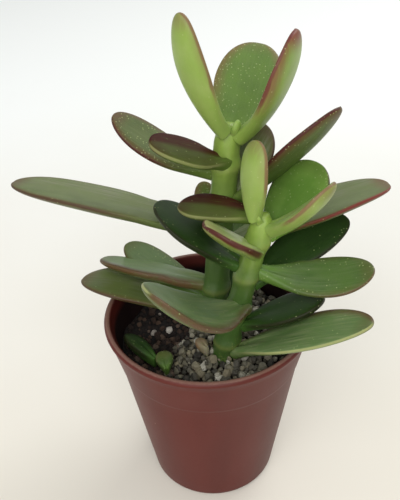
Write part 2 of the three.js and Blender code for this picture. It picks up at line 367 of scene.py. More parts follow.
@dataclass(frozen=True)
class LeafSkin(Finish):
    """Waxy leaf skin: green flesh, a red flush inside a blunt rim that carries a pale painted highlight, pale
    freckles and a grey bloom.
    """

    name: str
    above: Colour
    below: Colour
    deep: Colour
    stalk: Colour
    edge: Colour = paint(92, 26, 36)
    flush: Colour = paint(120, 52, 40)
    freckle: Colour = paint(178, 190, 132)
    bloom_colour: Colour = paint(136, 146, 104)
    # Colour of the painted highlight along the blunt edge.
    rim_highlight_colour: Colour = paint(172, 174, 118)
    edge_width: float = 0.5 * MM
    edge_strength: float = 0.8
    edge_from: float = 0.3
    flush_width: float = 2.2 * MM
    flush_strength: float = 0.4
    flush_from: float = 0.2
    tip_strength: float = 0.3
    # Strength of the painted highlight along the blunt edge.
    pale_rim: float = 0.0
    flush_side: int = 0
    freckles: float = 0.3
    bloom: float = 0.2
    bloom_side: int = 0
    gloss: float = 0.4
    shine: float = 0.3
    patch_scale: float = 150.0
    cell_scale: float = 2600.0
    freckle_scale: float = 1500.0

    def dress(self, bench: Bench, shader: bpy.types.Node) -> None:
        """Builds the leaf skin from the numbers stored on a blade."""
        along, rim, tip, top, lane = (bench.stored(name) for name in ("along", "rim", "tip", "top", "lane"))
        place = bench.place()
        streaks = bench.noise(1.0, 3.0, bench.vector(along * 3, lane * 18, top), 0.6)
        patches = bench.noise(self.patch_scale, 4.0, place, 0.55)
        cells = bench.noise(self.cell_scale, 2.0, place, 0.6)
        wander = (patches - 0.5) * MM
        flushed: Any = (lane * self.flush_side).ease(-0.12, 0.12) if self.flush_side else 1.0
        unflushed: Any = 1 - flushed if self.flush_side else 1.0

        flesh = bench.mix(top, self.below, self.above)
        flesh = bench.mix(patches.ease(0.36, 0.7) * 0.8, flesh, self.deep)
        flesh = bench.mix((cells - 0.5).size() * 0.7, flesh, self.stalk)
        flesh = bench.mix(along.ease(0.36, 0.02) * 0.7, flesh, self.stalk)
        waxy = streaks.ease(0.3, 0.75) * patches.ease(0.25, 0.6) * self.bloom
        if self.bloom_side:
            waxy = waxy * (0.1 + 0.9 * (lane * self.bloom_side).ease(-0.6, 0.5))
        flesh = bench.mix(waxy, flesh, self.bloom_colour)

        blush = (rim + wander * 1.6).ease(self.flush_width, 0.2 * MM)
        blush = blush * along.ease(self.flush_from, self.flush_from + 0.4) * self.flush_strength * flushed
        blush = blush.most((tip + wander * 3).ease(5 * MM, 0.5 * MM) * self.tip_strength)
        flesh = bench.mix(blush * streaks.ease(0.15, 0.5), flesh, self.flush)
        line = (rim + wander * 0.5).ease(self.edge_width, self.edge_width * 0.35)
        line = line * along.ease(self.edge_from, self.edge_from + 0.25) * self.edge_strength * flushed
        flesh = bench.mix(line, flesh, self.edge)
        # Painted highlight: a pale line just on the blunt edge, standing for the light the rounded margin
        # catches; it is left off the flushed side.
        pale = (rim + wander * 0.2).ease(0.45 * MM, 0.12 * MM) * along.ease(0.05, 0.25)
        flesh = bench.mix(pale * self.pale_rim * unflushed, flesh, self.rim_highlight_colour)

        crowd = self.freckles * (0.3 + 0.7 * rim.ease(4.5 * MM, 0.8 * MM)) * (0.4 + 0.6 * top)
        dots = bench.specks(self.freckle_scale, place, (0.3, 0.16), 1.0 - crowd, jitter=0.95)
        flesh = bench.mix(dots * 0.45, flesh, self.freckle)

        rough = self.gloss + waxy * 0.3 + (patches - 0.5) * 0.15 + dots * 0.2
        relief = cells * 0.3 + streaks * 0.4 + patches * 0.8 - dots * 0.3
        self.coat(bench, shader, flesh, rough, relief, depth=0.15 * MM, strength=0.4, shine=self.shine)
        self.glow_through(shader, weight=0.15, depth=1.2 * MM)


@dataclass(frozen=True)
class StemSkin(Finish):
    """Fleshy green stem skin with paler joints and corky flecks low down."""

    name: str = "stem_skin"
    young: Colour = paint(140, 166, 74)
    old: Colour = paint(64, 92, 38)
    scar: Colour = paint(150, 150, 86)

    def dress(self, bench: Bench, shader: bpy.types.Node) -> None:
        """Builds the stem skin: greener and darker low down, with a pale band at each joint."""
        height = bench.stored("height")
        joint = bench.stored("joint")
        place = bench.place()
        patches = bench.noise(240.0, 4.0, place, 0.6)
        cells = bench.noise(3000.0, 2.0, place)
        flesh = bench.mix((height + (patches - 0.5) * 0.3).ease(0.45, 1.05), self.old, self.young)
        flesh = bench.mix(joint * 0.25, flesh, self.scar)
        flecks = (patches * cells).ease(0.33, 0.42) * height.ease(0.7, 0.1)
        flesh = bench.mix(flecks * 0.5, flesh, self.scar)
        rough = 0.42 + flecks * 0.3
        self.coat(bench, shader, flesh, rough, patches + cells * 0.4, depth=0.15 * MM, strength=0.4)
        self.glow_through(shader, weight=0.18, depth=1.5 * MM)


@dataclass(frozen=True)
class PotPlastic(Finish):
    """Thin moulded plastic, terracotta brown, satin, a little scuffed and dusty, with painted shade inside
    and a painted highlight on the top of the lip.
    """

    name: str = "pot_plastic"
    body: Colour = paint(89, 32, 25)
    dark: Colour = paint(73, 25, 19)
    # Painted shade: the near-black colour that darkens the inside of the pot.
    inner: Colour = paint(19, 6, 5)
    # Dust and scuffs, and also the pale colour of the painted highlight on the top of the lip.
    dust_and_lip_highlight: Colour = paint(176, 150, 134)
    # Heights where the painted highlight along the top of the lip begins and where it is full.
    lip_highlight_from: float = 53.7 * MM
    lip_highlight_full: float = 53.98 * MM

    def dress(self, bench: Bench, shader: bpy.types.Node) -> None:
        """Builds the plastic: faint flow marks, fine scuffs, a trace of dust, painted shade inside the pot,
        and a pale painted highlight on the top of the lip.
        """
        place = bench.place()
        stretched = bench.node("ShaderNodeMapping", None, Vector=place, Scale=(1.0, 1.0, 0.12)).outputs[0]
        flow = bench.noise(90.0, 3.0, stretched, 0.5)
        grain = bench.noise(1500.0, 3.0, place, 0.6)
        clouds = bench.noise(45.0, 3.0, place, 0.5)
        inside = bench.stored("inside")
        colour = bench.mix(flow.ease(0.35, 0.7) * 0.5, self.body, self.dark)
        flecks = bench.specks(260.0, place, (0.07, 0.03), 0.95)
        colour = bench.mix(flecks * 0.7 + clouds.ease(0.6, 0.85) * 0.06, colour, self.dust_and_lip_highlight)
        # Painted highlight: the top of the lip is lightened with the dust colour to stand for the bright line
        # of light along it.
        lip_highlight = (bench.axis(place, 2) + (grain - 0.5) * 0.2 * MM).ease(self.lip_highlight_from, self.lip_highlight_full)
        # Painted shade: the inside of the pot is darkened to stand for the shade that falls inside it.
        colour = bench.mix(inside * (0.93 + 0.07 * flow), colour, self.inner)
        colour = bench.mix(lip_highlight * 0.3, colour, self.dust_and_lip_highlight)
        rough = 0.34 + clouds * 0.14 + grain * 0.08 + flecks * 0.3 + inside * 0.2
        relief = grain * 0.6 + flow
        self.coat(bench, shader, colour, rough, relief, depth=0.08 * MM, strength=0.15, shine=0.28)


@dataclass(frozen=True)
class PottingSoil(Finish):
    """Damp, dark, peaty soil."""

    name: str = "potting_soil"
    peat: Colour = paint(23, 16, 13)
    crumb: Colour = paint(54, 43, 35)
    wet: Colour = paint(9, 7, 6)

    def dress(self, bench: Bench, shader: bpy.types.Node) -> None:
        """Builds the soil: dark peat with paler crumbs and damp hollows."""
        place = bench.place()
        lumps = bench.noise(420.0, 5.0, place, 0.65)
        fine = bench.noise(1900.0, 3.0, place, 0.6)
        colour = bench.mix(lumps.ease(0.3, 0.55), self.wet, self.peat)
        colour = bench.mix((lumps * 0.5 + fine * 0.5).ease(0.5, 0.72), colour, self.crumb)
        rough = 0.95 - lumps.ease(0.35, 0.2) * 0.35
        self.coat(bench, shader, colour, rough, lumps + fine * 0.4, depth=0.5 * MM, strength=0.9)


@dataclass(frozen=True)
class Grains(Finish):
    """Loose grains that each have their own colour, from a ramp."""

    name: str
    stops: tuple[tuple[float, Colour], ...]
    stain: Colour = paint(90, 78, 62)
    rough: float = 0.7

    def dress(self, bench: Bench, shader: bpy.types.Node) -> None:
        """Builds the grains' finish from the tone attribute that each grain carries."""
        tone = bench.stored("tone")
        place = bench.place()
        veins = bench.noise(900.0, 3.0, place, 0.6)
        fine = bench.noise(4200.0, 2.0, place, 0.6)
        colour = bench.signal("ShaderNodeValToRGB", {"stops": self.stops}, Fac=tone)
        colour = bench.mix(veins.ease(0.5, 0.78) * 0.45, colour, self.stain)
        rough = self.rough + (fine - 0.5) * 0.3
        self.coat(bench, shader, colour, rough, veins + fine * 0.5, depth=0.12 * MM, strength=0.5)


@dataclass(frozen=True)
class TableTop(Finish):
    """A plain pale table."""

    name: str = "table_top"
    # Painted shade at the front of the table and painted light at the back.
    near: Colour = paint(223, 218, 206)
    far: Colour = paint(246, 249, 248)

    def dress(self, bench: Bench, shader: bpy.types.Node) -> None:
        """Builds the table's finish: matt, with painted light, darker and warmer towards the front and whiter
        towards the back.
        """
        place = bench.place()
        clouds = bench.noise(9.0, 2.0, place)
        # Painted light and shade: the table is darker and warmer at the front near the pot, and whiter
        # towards the back.
        share = (bench.axis(place, 1) + (clouds - 0.5) * 0.1).ease(-0.1, 0.35)
        bench.feed(shader.inputs["Base Color"], bench.mix(share, self.near, self.far))
        shader.inputs["Roughness"].default_value = 0.85
        shader.inputs["Specular IOR Level"].default_value = 0.15


PLASTIC = PotPlastic()
SOIL = PottingSoil()
STEM = StemSkin()
GRIT = Grains(
    "grit_stone",
    (
        (0.0, paint(44, 42, 38)),
        (0.3, paint(80, 77, 66)),
        (0.6, paint(110, 106, 90)),
        (0.8, paint(128, 120, 98)),
        (0.92, paint(150, 147, 132)),
        (1.0, paint(196, 192, 180)),
    ),
)
CRUMBS = Grains(
    "soil_crumbs",
    (
        (0.0, paint(22, 14, 11)),
        (0.5, paint(48, 33, 25)),
        (0.85, paint(76, 58, 46)),
        (0.95, paint(118, 104, 92)),
        (1.0, paint(190, 184, 174)),
    ),
    stain=paint(30, 20, 16),
    rough=0.95,
)
HUSK = LeafSkin(
    "dry_leaf_base", above=paint(140, 134, 106), below=paint(134, 124, 94), deep=paint(112, 100, 70),
    stalk=paint(150, 144, 120), edge=paint(140, 112, 76), freckles=0.0, bloom=0.1, gloss=0.7,
)

BUD = LeafSkin(
    "bud_skin", above=paint(140, 166, 84), below=paint(146, 170, 86), deep=paint(124, 152, 70),
    stalk=paint(150, 174, 92), tip_strength=0.0, flush_strength=0.0, edge_strength=0.0,
    freckles=0.1, bloom=0.1,
)


class Skin(Enum):
    """The leaf skins on the plant, roughly from the newest leaves to the oldest, with one dark skin that is
    partly painted shade for leaves lying in the shade of others.
    """

    NEW = LeafSkin(
        "leaf_skin_new", above=paint(150, 170, 104), below=paint(146, 168, 90), deep=paint(132, 160, 70),
        stalk=paint(146, 172, 88), edge=paint(104, 40, 38), edge_width=0.45 * MM, flush=paint(112, 78, 58),
        flush_width=1.8 * MM, flush_strength=0.3, flush_from=0.35, tip_strength=0.5, edge_strength=0.85,
        pale_rim=0.2, freckles=0.3, bloom=0.06,
    )
    FLUSHED = LeafSkin(
        "leaf_skin_flushed", above=paint(150, 168, 100), below=paint(136, 160, 78), deep=paint(122, 150, 66),
        stalk=paint(146, 172, 80), edge=paint(96, 36, 36), flush=paint(118, 58, 52), flush_width=3.4 * MM,
        flush_strength=0.75, flush_from=0.25, flush_side=-1, tip_strength=0.95, edge_strength=0.8,
        freckles=0.3, bloom=0.06,
    )
    TENDER = LeafSkin(
        "leaf_skin_tender", above=paint(186, 198, 134), below=paint(108, 136, 56), deep=paint(150, 168, 100),
        stalk=paint(112, 144, 58), edge=paint(74, 18, 22), edge_width=0.9 * MM, edge_strength=0.95,
        edge_from=-0.1, flush=paint(140, 84, 62), flush_width=1.7 * MM, flush_from=0.0,
        freckles=0.15, bloom=0.1,
    )
    YOUNG = LeafSkin(
        "leaf_skin_young", above=paint(92, 120, 50), below=paint(108, 138, 60), deep=paint(80, 108, 44),
        stalk=paint(122, 154, 66), edge=paint(88, 38, 34), edge_width=0.4 * MM, flush=paint(118, 92, 60),
        flush_width=3.4 * MM, flush_strength=0.8, edge_strength=0.85, freckles=1.0, bloom=0.1,
    )
    BRIGHT = LeafSkin(
        "leaf_skin_bright", above=paint(112, 148, 66), below=paint(104, 142, 60), deep=paint(90, 130, 50),
        stalk=paint(110, 146, 60), edge=paint(66, 52, 38), flush=paint(76, 70, 40), flush_width=1.2 * MM,
        edge_width=0.4 * MM, freckles=0.8, bloom=0.05,
    )
    GREEN = LeafSkin(
        "leaf_skin_green", above=paint(73, 99, 44), below=paint(77, 106, 43), deep=paint(58, 85, 35),
        stalk=paint(94, 130, 50), flush=paint(92, 56, 36), flush_strength=0.3, edge_strength=0.5,
        edge_from=0.45, freckles=0.25, bloom=0.2,
    )
    SPECKLED = LeafSkin(
        "leaf_skin_speckled", above=paint(82, 94, 48), below=paint(80, 98, 44), deep=paint(68, 80, 40),
        stalk=paint(104, 132, 54), edge=paint(72, 26, 28), flush=paint(92, 44, 36), flush_width=2.2 * MM,
        flush_strength=0.65, edge_strength=0.85, freckles=0.75, bloom=0.15, tip_strength=0.6, shine=0.2,
    )
    RED = LeafSkin(
        "leaf_skin_red", above=paint(78, 86, 42), below=paint(80, 98, 46), deep=paint(70, 72, 36),
        stalk=paint(92, 116, 48), flush=paint(60, 20, 18), flush_width=20.0 * MM, flush_strength=0.97,
        flush_from=-0.3, flush_side=-1, edge=paint(56, 18, 18), edge_width=1.2 * MM, edge_from=-0.2,
        edge_strength=0.95, pale_rim=0.4, freckles=0.15, bloom=0.05, tip_strength=0.5, gloss=0.5, shine=0.08,
    )
    STREAKED = LeafSkin(
        "leaf_skin_streaked", above=paint(88, 114, 66), below=paint(84, 110, 46), deep=paint(66, 96, 50),
        stalk=paint(90, 118, 58), flush=paint(86, 50, 34), flush_width=3.0 * MM, flush_strength=0.85,
        flush_from=-0.2, flush_side=1, edge_strength=0.0, pale_rim=0.6, freckles=0.1, bloom=0.65,
    )
    # Painted shade: this skin is darkened for leaves that lie in the shade of others; in part it is the deep
    # green of older leaves.
    DARK = LeafSkin(
        "leaf_skin_dark", above=paint(42, 66, 28), below=paint(46, 72, 30), deep=paint(30, 52, 22),
        stalk=paint(66, 100, 40), edge=paint(34, 30, 20), edge_width=0.7 * MM, edge_from=0.0,
        flush=paint(40, 40, 24), flush_width=1.6 * MM, flush_strength=0.4, edge_strength=0.7,
        freckles=0.15, bloom=0.03, shine=0.15,
    )
    WAXY = LeafSkin(
        "leaf_skin_waxy", above=paint(98, 112, 60), below=paint(76, 92, 42), deep=paint(84, 98, 50),
        stalk=paint(84, 106, 48), edge=paint(66, 32, 28), flush=paint(90, 50, 42), flush_width=1.9 * MM,
        flush_strength=0.5, tip_strength=0.6, edge_strength=0.65, freckles=0.12,
        bloom_colour=paint(142, 144, 122), bloom=0.85, bloom_side=-1, gloss=0.45,
    )
    WAXY_RIGHT = replace(
        WAXY, name="leaf_skin_waxy_right", edge=paint(112, 38, 34), edge_strength=0.9, edge_width=0.6 * MM,
        flush=paint(108, 58, 46), flush_width=1.5 * MM, bloom_side=1,
    )


# --------------------------------------------------------------------------------------------------
# Making meshes


def link(name: str, mesh: bpy.types.Mesh) -> bpy.types.Object:
    """Puts a mesh in the scene as an object at the origin.

    Args:
        name: The piece's name.
        mesh: Its mesh, already in place.

    Returns:
        The object.
    """
    made = bpy.data.objects.new(name, mesh)
    bpy.context.scene.collection.objects.link(made)
    return made


def outward(mesh: bpy.types.Mesh) -> None:
    """Merges doubles and points a closed mesh's faces outwards."""
    work = bmesh.new()
    work.from_mesh(mesh)
    bmesh.ops.remove_doubles(work, verts=work.verts, dist=WELD)
    bmesh.ops.dissolve_degenerate(work, edges=work.edges, dist=SLIVER)
    bmesh.ops.recalc_face_normals(work, faces=work.faces)
    if work.calc_volume(signed=True) < 0:
        bmesh.ops.reverse_faces(work, faces=work.faces)
    work.to_mesh(mesh)
    work.free()
    mesh.shade_smooth()


def finish_piece(piece: bpy.types.Object, finish: Finish, slot: str, *nodes: str) -> bpy.types.Object:
    """Dresses a piece, attaches it to the body and hides the frame's parts that it stands for.

    Args:
        piece: The piece.
        finish: Its finish.
        slot: Not used.
        nodes: The frame's nodes that it replaces.

    Returns:
        The same piece.
    """
    if not piece.data.materials:
        piece.data.materials.append(finish.material())
    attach(piece, BODY)
    if nodes:
        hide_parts(*nodes)
    log.info("%s: %d vertices, %d faces", piece.name, len(piece.data.vertices), len(piece.data.polygons))
    return piece


def skin_over(name: str, rings: np.ndarray, start: np.ndarray, end: np.ndarray) -> bpy.types.Mesh:
    """A closed skin over rings of points, drawn to a point at each end.

    Args:
        name: The mesh's name.
        rings: Ring, point, xyz.
        start: The point before the first ring.
        end: The point after the last.

    Returns:
        The mesh.
    """
    count, sides, _ = rings.shape
    points = np.vstack([rings.reshape(-1, 3), start[None], end[None]])
    first, last = count * sides, count * sides + 1
    faces: list[tuple[int, ...]] = []
    for side in range(sides):
        after = (side + 1) % sides
        faces.append((first, after, side))
        faces.append((last, (count - 1) * sides + side, (count - 1) * sides + after))
        for ring in range(count - 1):
            low, high = ring * sides, (ring + 1) * sides
            faces.append((low + side, low + after, high + after, high + side))
    mesh = bpy.data.meshes.new(name)
    mesh.from_pydata(points.tolist(), [], faces)
    outward(mesh)
    return mesh


def circle(radius: float | np.ndarray, turns: np.ndarray, height: float | np.ndarray = 0.0) -> np.ndarray:
    """Points round an upright axis, one to a row.

    Args:
        radius: How far out each point is.
        turns: The angle of each point.
        height: The height of each point.

    Returns:
        The points.
    """
    flat = radius * np.cos(turns), radius * np.sin(turns)
    return np.stack([*flat, np.broadcast_to(height, turns.shape)], 1)


def store(mesh: bpy.types.Mesh, name: str, values: np.ndarray) -> None:
    """Stores a number on each vertex of a mesh."""
    layer = mesh.attributes.new(name, "FLOAT", "POINT")
    layer.data.foreach_set("value", np.asarray(values, dtype=np.float32))


def places(mesh: bpy.types.Mesh) -> np.ndarray:
    """The vertices of a mesh, one to a row."""
    values = np.empty(len(mesh.vertices) * 3, dtype=np.float32)
    mesh.vertices.foreach_get("co", values)
    return values.reshape(-1, 3)


class Grower:
    """A Geometry Nodes tree with named inputs, run once for each piece it makes."""

    def __init__(self, name: str, inputs: dict[str, Any], build: Callable[[Bench, dict[str, Signal]], Any],
                 faceted: bool = False) -> None:
        """Builds the tree.

        Args:
            name: The tree's name.
            inputs: Its inputs' names and default values.
            build: Adds the nodes, given the bench and the inputs, and returns the geometry to hand out.
            faceted: Whether its faces stay flat.
        """
        self.tree = bpy.data.node_groups.new(name, "GeometryNodeTree")
        kinds = {float: "NodeSocketFloat", int: "NodeSocketInt", tuple: "NodeSocketVector"}
        self.tree.interface.new_socket("Geometry", in_out="INPUT", socket_type="NodeSocketGeometry")
        for label, value in inputs.items():
            kind = "NodeSocketMaterial" if value is None else kinds[type(value)]
            self.tree.interface.new_socket(label, in_out="INPUT", socket_type=kind)
        self.tree.interface.new_socket("Geometry", in_out="OUTPUT", socket_type="NodeSocketGeometry")
        bench = Bench(self.tree)
        entry = bench.node("NodeGroupInput")
        given = {label: Signal(bench, entry.outputs[label]) for label in ("Geometry", *inputs)}
        shape = build(bench, given)
        realised = bench.signal("GeometryNodeRealizeInstances", None, Geometry=shape)
        smooth = bench.signal("GeometryNodeSetShadeSmooth", None, Geometry=realised, Shade_Smooth=not faceted)
        dressed = bench.signal("GeometryNodeSetMaterial", None, Geometry=smooth, Material=given["Material"])
        leave = bench.node("NodeGroupOutput")
        bench.feed(leave.inputs[0], dressed)

    def grow(self, name: str, ground: bpy.types.Mesh, **values: Any) -> bpy.types.Object:
        """Runs the tree over a mesh and keeps the result as a plain mesh.

        Args:
            name: The new piece's name.
            ground: The mesh it starts from.
            values: The tree's inputs, by name, with _ for a space.

        Returns:
            The new object.
        """
        carrier = link(name + "_seed", ground)
        modifier = carrier.modifiers.new("grow", "NODES")
        modifier.node_group = self.tree
        for item in self.tree.interface.items_tree:
            label = item.name.replace(" ", "_")
            if item.in_out == "INPUT" and label in values:
                modifier[item.identifier] = values[label]
        bpy.context.view_layer.update()
        graph = bpy.context.evaluated_depsgraph_get()
        mesh = bpy.data.meshes.new_from_object(carrier.evaluated_get(graph), depsgraph=graph)
        mesh.name = name
        bpy.data.objects.remove(carrier)
        return link(name, mesh)


# --------------------------------------------------------------------------------------------------
# The pot


@dataclass
class NurseryPot:
    """A thin tapered plastic pot with a collar and a rolled lip."""

    height: float = 54 * MM
    rim_radius: float = 27.5 * MM
    base_radius: float = 17.9 * MM
    collar_radius: float = 24.2 * MM
    collar_height: float = 12.6 * MM
    collar_step: float = 0.6 * MM
    wall: float = 1.1 * MM
    base_thickness: float = 1.4 * MM
    lip: float = 0.9 * MM
    drain_radius: float = 2.2 * MM
    drain_circle: float = 11 * MM
    drain_count: int = 4
    drain_sides: int = 32
    foot_inset: float = 1.6 * MM
    foot_round: float = 1.5 * MM
    floor_share: float = 0.6
    lip_from: float = -25.0
    lip_to: float = 175.0
    crease_angle: float = 38.0
    sides: int = 192

    @property
    def collar_bottom(self) -> float:
        """The height where the collar starts."""
        return self.height - self.collar_height

    def inner_radius(self, height: float) -> float:
        """The pot's inside radius at a height."""
        if height < self.collar_bottom:
            slope = (self.collar_radius - self.base_radius) / self.collar_bottom
            return self.base_radius + slope * height - self.wall
        up = (height - self.collar_bottom) / self.collar_height
        return self.collar_radius - self.wall + up * (self.rim_radius - self.lip - self.collar_radius)

    def outline(self) -> list[tuple[float, float]]:
        """The wall's section, from the middle of the underside, round the lip, to the middle of the floor."""
        inset, curve = self.base_radius - self.foot_inset, self.foot_round
        foot = [
            (inset + curve * math.sin(turn), curve * (1 - math.cos(turn)))
            for turn in np.linspace(0, math.pi / 2 - 0.15, 7)
        ]
        step = self.collar_radius + 0.7 * self.collar_step
        line = [(self.floor_share * self.base_radius, 0.0), *foot]
        line += self._run(line[-1], (self.collar_radius, self.collar_bottom - 0.25 * MM), 10)
        line += [
            (self.collar_radius + 0.06 * MM, self.collar_bottom),
            (self.collar_radius + 0.2 * MM, self.collar_bottom + 0.3 * MM),
            (step - 0.06 * MM, self.collar_bottom + 0.65 * MM),
            (step, self.collar_bottom + MM),
        ]
        neck = (self.rim_radius - 0.55 * MM, self.height - 2 * self.lip)
        line += self._run(line[-1], neck, 6)
        middle = (self.rim_radius - self.lip, self.height - self.lip)
        line += [
            (middle[0] + self.lip * math.cos(turn), middle[1] + self.lip * math.sin(turn))
            for turn in np.radians(np.linspace(self.lip_from, self.lip_to, 13))
        ]
        line.append((self.inner_radius(self.height - 2 * MM), self.height - 2 * MM))
        line += self._run(line[-1], (self.inner_radius(self.collar_bottom), self.collar_bottom), 5)
        above_floor = self.base_thickness + MM
        line += self._run(line[-1], (self.inner_radius(above_floor), above_floor), 8)
        line.append((self.inner_radius(self.base_thickness) - MM, self.base_thickness))
        line.append((self.floor_share * self.base_radius, self.base_thickness))
        return line

    @staticmethod
    def _run(start: tuple[float, float], end: tuple[float, float], steps: int) -> list[tuple[float, float]]:
        """Points along a straight stretch of the section, without its start."""
        return [
            (start[0] + (end[0] - start[0]) * step / steps, start[1] + (end[1] - start[1]) * step / steps)
            for step in range(1, steps + 1)
        ]

    def drain_drill(self) -> bpy.types.Object:
        """The drain holes as one cutting tool."""
        work = bmesh.new()
        for hole in range(self.drain_count):
            turn = (hole + 0.5) * 2 * math.pi / self.drain_count
            where = (self.drain_circle * math.cos(turn), self.drain_circle * math.sin(turn), 0)
            bmesh.ops.create_cone(
                work, cap_ends=True, segments=self.drain_sides,
                radius1=self.drain_radius, radius2=self.drain_radius,
                depth=4 * self.base_thickness, matrix=Matrix.Translation(where),
            )
        mesh = bpy.data.meshes.new("drain_drill")
        work.to_mesh(mesh)
        work.free()
        return link("drain_drill", mesh)

    def build(self) -> bpy.types.Object:
        """Makes the pot and dresses it.

        Returns:
            The pot.
        """
        turns = np.linspace(0, 2 * math.pi, self.sides, endpoint=False)
        section = self.outline()
        rings = np.array([circle(radius, turns, height) for radius, height in section])
        mesh = skin_over("pot_wall", rings, np.zeros(3), np.array([0, 0, self.base_thickness]))
        solid = link("pot_solid", mesh)
        drill = self.drain_drill()
        cut = solid.modifiers.new("drain", "BOOLEAN")
        cut.operation = "DIFFERENCE"
        cut.solver = "EXACT"
        cut.object = drill
        bpy.context.view_layer.update()
        graph = bpy.context.evaluated_depsgraph_get()
        drilled = bpy.data.meshes.new_from_object(solid.evaluated_get(graph), depsgraph=graph)
        bpy.data.objects.remove(solid)
        bpy.data.objects.remove(drill)
        drilled.shade_smooth()
        drilled.set_sharp_from_angle(angle=math.radians(self.crease_angle))
        drilled.materials.clear()
        spots = places(drilled)
        inner = np.array([self.inner_radius(height) for height in spots[:, 2]]) + 0.4 * self.wall
        within = (np.hypot(spots[:, 0], spots[:, 1]) < inner) & (spots[:, 2] < self.height - 2.4 * MM)
        # The inside mask carries the painted shade on the pot's inner wall.
        store(drilled, "inside", within & (spots[:, 2] > 0.5 * self.base_thickness))
        return finish_piece(link("nursery_pot", drilled), PLASTIC, "plastic", "pot")


# --------------------------------------------------------------------------------------------------
# Soil and grit


